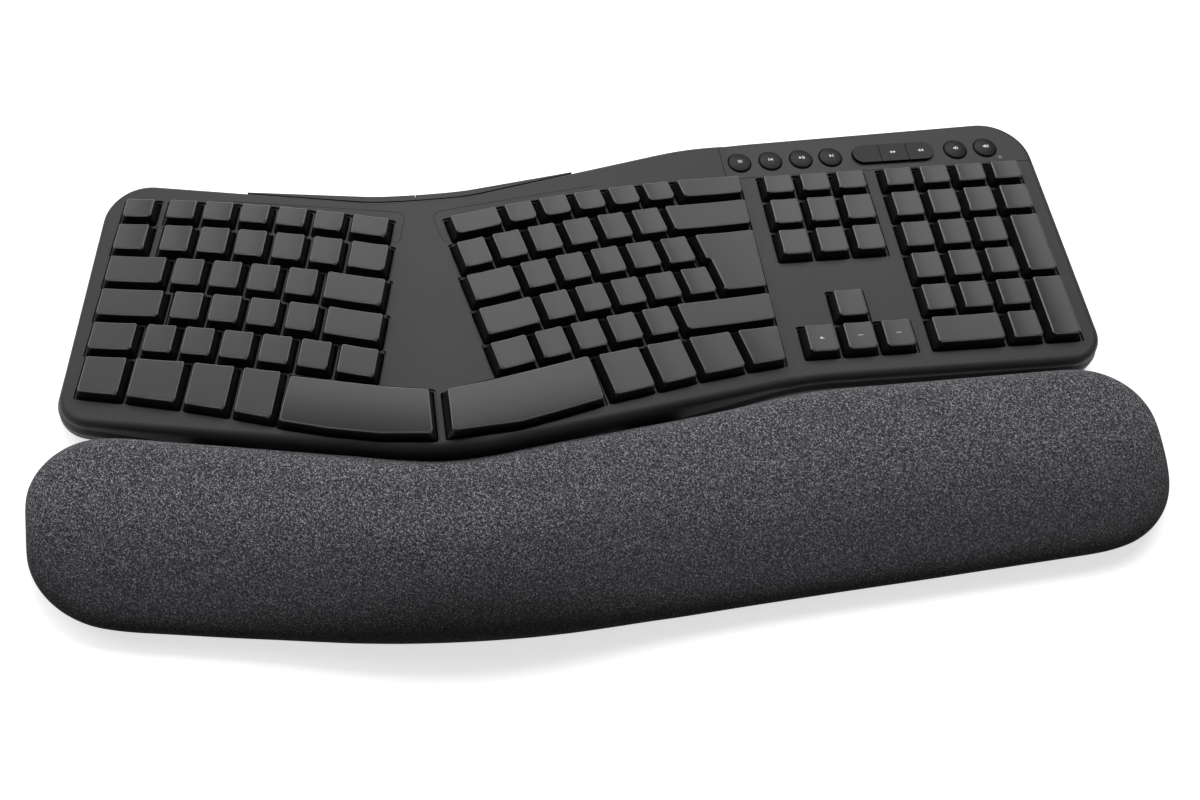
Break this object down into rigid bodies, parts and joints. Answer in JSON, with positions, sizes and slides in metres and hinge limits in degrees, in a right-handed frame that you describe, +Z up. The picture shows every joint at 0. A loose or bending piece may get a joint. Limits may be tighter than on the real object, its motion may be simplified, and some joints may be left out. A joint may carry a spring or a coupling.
{
  "type": "ergonomic keyboard",
  "caption": "Split ergonomic keyboard with a raised middle ridge, number pad, media buttons and a separate cushioned fabric palm rest.",
  "frame": {"origin": "centre of the whole part's footprint, on the table that it rests on", "axes": "+X to the typist's right, +Y away from the typist, +Z up"},
  "size_m": [0.5348, 0.2627, 0.0484],
  "materials": {
    "deck": "fine matte texture",
    "case_bottom": "matte",
    "key_cap": "matte with a faint sheen",
    "button_cap": "matte",
    "lens": "frosted",
    "inner_plastic": "matte",
    "dome_rubber": "milky",
    "membrane_film": "clear film with printed tracks",
    "steel": "plain zinc-plated sheet",
    "board": "green solder resist",
    "cell_jacket": "satin jacket with a bare band",
    "foot_rubber": "matte",
    "rest_base": "matte",
    "rest_foam": "open foam",
    "rest_fabric": "grey melange weave"
  },
  "bodies": {
    "keyboard": {"top_cover": "deck", "media_panel": "deck", "rear_strips": "deck", "led_lens": "lens", "bottom_case": "case_bottom", "battery_door": "case_bottom", "guide_plate_left": "inner_plastic", "guide_plate_right": "inner_plastic", "guide_plate_flat": "inner_plastic", "dome_sheets": "dome_rubber", "membranes": "membrane_film", "back_plates": "steel", "circuit_board": "board", "media_board": "board", "batteries": "cell_jacket", "battery_contacts": "steel", "case_screws": "steel", "rubber_feet": "foot_rubber", "palm_rest_board": "rest_base", "palm_rest_foam": "rest_foam", "palm_rest_fabric": "rest_fabric"},
    "escape_key": {"escape_key": "key_cap"},
    "function_keys_left": {"function_keys_left": "key_cap"},
    "number_keys_left": {"number_keys_left": "key_cap"},
    "tab_key": {"tab_key": "key_cap"},
    "upper_letters_left": {"upper_letters_left": "key_cap"},
    "caps_lock_key": {"caps_lock_key": "key_cap"},
    "home_letters_left": {"home_letters_left": "key_cap"},
    "shift_key_left": {"shift_key_left": "key_cap"},
    "lower_letters_left": {"lower_letters_left": "key_cap"},
    "modifier_keys_left": {"modifier_keys_left": "key_cap"},
    "space_bar_left": {"space_bar_left": "key_cap"},
    "function_keys_right": {"function_keys_right": "key_cap"},
    "number_keys_right": {"number_keys_right": "key_cap"},
    "backspace_key": {"backspace_key": "key_cap"},
    "upper_letters_right": {"upper_letters_right": "key_cap"},
    "home_letters_right": {"home_letters_right": "key_cap"},
    "lower_letters_right": {"lower_letters_right": "key_cap"},
    "shift_key_right": {"shift_key_right": "key_cap"},
    "enter_key": {"enter_key": "key_cap"},
    "modifier_keys_right": {"modifier_keys_right": "key_cap"},
    "space_bar_right": {"space_bar_right": "key_cap"},
    "cursor_block_keys": {"cursor_block_keys": "key_cap"},
    "arrow_key_up": {"arrow_key_up": "key_cap"},
    "arrow_key_left": {"arrow_key_left": "key_cap"},
    "arrow_key_down": {"arrow_key_down": "key_cap"},
    "arrow_key_right": {"arrow_key_right": "key_cap"},
    "pad_keys": {"pad_keys": "key_cap"},
    "pad_zero_key": {"pad_zero_key": "key_cap"},
    "pad_plus_key": {"pad_plus_key": "key_cap"},
    "pad_enter_key": {"pad_enter_key": "key_cap"},
    "media_button_1": {"media_button_1": "button_cap"},
    "media_button_2": {"media_button_2": "button_cap"},
    "media_button_3": {"media_button_3": "button_cap"},
    "media_button_4": {"media_button_4": "button_cap"},
    "media_button_5": {"media_button_5": "button_cap"},
    "media_button_6": {"media_button_6": "button_cap"},
    "media_button_7": {"media_button_7": "button_cap"},
    "media_button_8": {"media_button_8": "button_cap"},
    "media_button_9": {"media_button_9": "button_cap"}
  },
  "joints": [
    {"name": "escape_key_press", "type": "slide", "parent": "keyboard", "child": "escape_key", "axis": [0.153, 0, -0.9882], "range_m": [0, 0.0022], "stiffness_N_per_m": 90, "springref_m": -0.0015},
    {"name": "function_keys_left_press", "type": "slide", "parent": "keyboard", "child": "function_keys_left", "axis": [0.153, 0, -0.9882], "range_m": [0, 0.0022], "stiffness_N_per_m": 540, "springref_m": -0.0015},
    {"name": "number_keys_left_press", "type": "slide", "parent": "keyboard", "child": "number_keys_left", "axis": [0.153, 0, -0.9882], "range_m": [0, 0.0022], "stiffness_N_per_m": 630, "springref_m": -0.0015},
    {"name": "tab_key_press", "type": "slide", "parent": "keyboard", "child": "tab_key", "axis": [0.153, 0, -0.9882], "range_m": [0, 0.0022], "stiffness_N_per_m": 90, "springref_m": -0.0015},
    {"name": "upper_letters_left_press", "type": "slide", "parent": "keyboard", "child": "upper_letters_left", "axis": [0.153, 0, -0.9882], "range_m": [0, 0.0022], "stiffness_N_per_m": 450, "springref_m": -0.0015},
    {"name": "caps_lock_key_press", "type": "slide", "parent": "keyboard", "child": "caps_lock_key", "axis": [0.153, 0, -0.9882], "range_m": [0, 0.0022], "stiffness_N_per_m": 90, "springref_m": -0.0015},
    {"name": "home_letters_left_press", "type": "slide", "parent": "keyboard", "child": "home_letters_left", "axis": [0.153, 0, -0.9882], "range_m": [0, 0.0022], "stiffness_N_per_m": 450, "springref_m": -0.0015},
    {"name": "shift_key_left_press", "type": "slide", "parent": "keyboard", "child": "shift_key_left", "axis": [0.153, 0, -0.9882], "range_m": [0, 0.0022], "stiffness_N_per_m": 90, "springref_m": -0.0015},
    {"name": "lower_letters_left_press", "type": "slide", "parent": "keyboard", "child": "lower_letters_left", "axis": [0.153, 0, -0.9882], "range_m": [0, 0.0022], "stiffness_N_per_m": 540, "springref_m": -0.0015},
    {"name": "modifier_keys_left_press", "type": "slide", "parent": "keyboard", "child": "modifier_keys_left", "axis": [0.153, 0, -0.9882], "range_m": [0, 0.0022], "stiffness_N_per_m": 360, "springref_m": -0.0015},
    {"name": "space_bar_left_press", "type": "slide", "parent": "keyboard", "child": "space_bar_left", "axis": [0.153, 0, -0.9882], "range_m": [0, 0.0022], "stiffness_N_per_m": 90, "springref_m": -0.0015},
    {"name": "function_keys_right_press", "type": "slide", "parent": "keyboard", "child": "function_keys_right", "axis": [-0.153, 0, -0.9882], "range_m": [0, 0.0022], "stiffness_N_per_m": 630, "springref_m": -0.0015},
    {"name": "number_keys_right_press", "type": "slide", "parent": "keyboard", "child": "number_keys_right", "axis": [-0.153, 0, -0.9882], "range_m": [0, 0.0022], "stiffness_N_per_m": 540, "springref_m": -0.0015},
    {"name": "backspace_key_press", "type": "slide", "parent": "keyboard", "child": "backspace_key", "axis": [-0.153, 0, -0.9882], "range_m": [0, 0.0022], "stiffness_N_per_m": 90, "springref_m": -0.0015},
    {"name": "upper_letters_right_press", "type": "slide", "parent": "keyboard", "child": "upper_letters_right", "axis": [-0.153, 0, -0.9882], "range_m": [0, 0.0022], "stiffness_N_per_m": 540, "springref_m": -0.0015},
    {"name": "home_letters_right_press", "type": "slide", "parent": "keyboard", "child": "home_letters_right", "axis": [-0.153, 0, -0.9882], "range_m": [0, 0.0022], "stiffness_N_per_m": 540, "springref_m": -0.0015},
    {"name": "lower_letters_right_press", "type": "slide", "parent": "keyboard", "child": "lower_letters_right", "axis": [-0.153, 0, -0.9882], "range_m": [0, 0.0022], "stiffness_N_per_m": 450, "springref_m": -0.0015},
    {"name": "shift_key_right_press", "type": "slide", "parent": "keyboard", "child": "shift_key_right", "axis": [-0.153, 0, -0.9882], "range_m": [0, 0.0022], "stiffness_N_per_m": 90, "springref_m": -0.0015},
    {"name": "enter_key_press", "type": "slide", "parent": "keyboard", "child": "enter_key", "axis": [-0.153, 0, -0.9882], "range_m": [0, 0.0022], "stiffness_N_per_m": 90, "springref_m": -0.0015},
    {"name": "modifier_keys_right_press", "type": "slide", "parent": "keyboard", "child": "modifier_keys_right", "axis": [-0.153, 0, -0.9882], "range_m": [0, 0.0022], "stiffness_N_per_m": 360, "springref_m": -0.0015},
    {"name": "space_bar_right_press", "type": "slide", "parent": "keyboard", "child": "space_bar_right", "axis": [-0.153, 0, -0.9882], "range_m": [0, 0.0022], "stiffness_N_per_m": 90, "springref_m": -0.0015},
    {"name": "cursor_block_keys_press", "type": "slide", "parent": "keyboard", "child": "cursor_block_keys", "axis": [0, 0, -1], "range_m": [0, 0.0022], "stiffness_N_per_m": 810, "springref_m": -0.0015},
    {"name": "arrow_key_up_press", "type": "slide", "parent": "keyboard", "child": "arrow_key_up", "axis": [0, 0, -1], "range_m": [0, 0.0022], "stiffness_N_per_m": 90, "springref_m": -0.0015},
    {"name": "arrow_key_left_press", "type": "slide", "parent": "keyboard", "child": "arrow_key_left", "axis": [0, 0, -1], "range_m": [0, 0.0022], "stiffness_N_per_m": 90, "springref_m": -0.0015},
    {"name": "arrow_key_down_press", "type": "slide", "parent": "keyboard", "child": "arrow_key_down", "axis": [0, 0, -1], "range_m": [0, 0.0022], "stiffness_N_per_m": 90, "springref_m": -0.0015},
    {"name": "arrow_key_right_press", "type": "slide", "parent": "keyboard", "child": "arrow_key_right", "axis": [0, 0, -1], "range_m": [0, 0.0022], "stiffness_N_per_m": 90, "springref_m": -0.0015},
    {"name": "pad_keys_press", "type": "slide", "parent": "keyboard", "child": "pad_keys", "axis": [0, 0, -1], "range_m": [0, 0.0022], "stiffness_N_per_m": 1620, "springref_m": -0.0015},
    {"name": "pad_zero_key_press", "type": "slide", "parent": "keyboard", "child": "pad_zero_key", "axis": [0, 0, -1], "range_m": [0, 0.0022], "stiffness_N_per_m": 90, "springref_m": -0.0015},
    {"name": "pad_plus_key_press", "type": "slide", "parent": "keyboard", "child": "pad_plus_key", "axis": [0, 0, -1], "range_m": [0, 0.0022], "stiffness_N_per_m": 90, "springref_m": -0.0015},
    {"name": "pad_enter_key_press", "type": "slide", "parent": "keyboard", "child": "pad_enter_key", "axis": [0, 0, -1], "range_m": [0, 0.0022], "stiffness_N_per_m": 90, "springref_m": -0.0015},
    {"name": "media_button_1_press", "type": "slide", "parent": "keyboard", "child": "media_button_1", "axis": [0, 0, -1], "range_m": [0, 0.0007], "stiffness_N_per_m": 400, "springref_m": -0.0015},
    {"name": "media_button_2_press", "type": "slide", "parent": "keyboard", "child": "media_button_2", "axis": [0, 0, -1], "range_m": [0, 0.0007], "stiffness_N_per_m": 400, "springref_m": -0.0015},
    {"name": "media_button_3_press", "type": "slide", "parent": "keyboard", "child": "media_button_3", "axis": [0, 0, -1], "range_m": [0, 0.0007], "stiffness_N_per_m": 400, "springref_m": -0.0015},
    {"name": "media_button_4_press", "type": "slide", "parent": "keyboard", "child": "media_button_4", "axis": [0, 0, -1], "range_m": [0, 0.0007], "stiffness_N_per_m": 400, "springref_m": -0.0015},
    {"name": "media_button_5_press", "type": "slide", "parent": "keyboard", "child": "media_button_5", "axis": [0, 0, -1], "range_m": [0, 0.0007], "stiffness_N_per_m": 400, "springref_m": -0.0015},
    {"name": "media_button_6_press", "type": "slide", "parent": "keyboard", "child": "media_button_6", "axis": [0, 0, -1], "range_m": [0, 0.0007], "stiffness_N_per_m": 400, "springref_m": -0.0015},
    {"name": "media_button_7_press", "type": "slide", "parent": "keyboard", "child": "media_button_7", "axis": [0, 0, -1], "range_m": [0, 0.0007], "stiffness_N_per_m": 400, "springref_m": -0.0015},
    {"name": "media_button_8_press", "type": "slide", "parent": "keyboard", "child": "media_button_8", "axis": [0, 0, -1], "range_m": [0, 0.0007], "stiffness_N_per_m": 400, "springref_m": -0.0015},
    {"name": "media_button_9_press", "type": "slide", "parent": "keyboard", "child": "media_button_9", "axis": [0, 0, -1], "range_m": [0, 0.0007], "stiffness_N_per_m": 400, "springref_m": -0.0015}
  ]
}
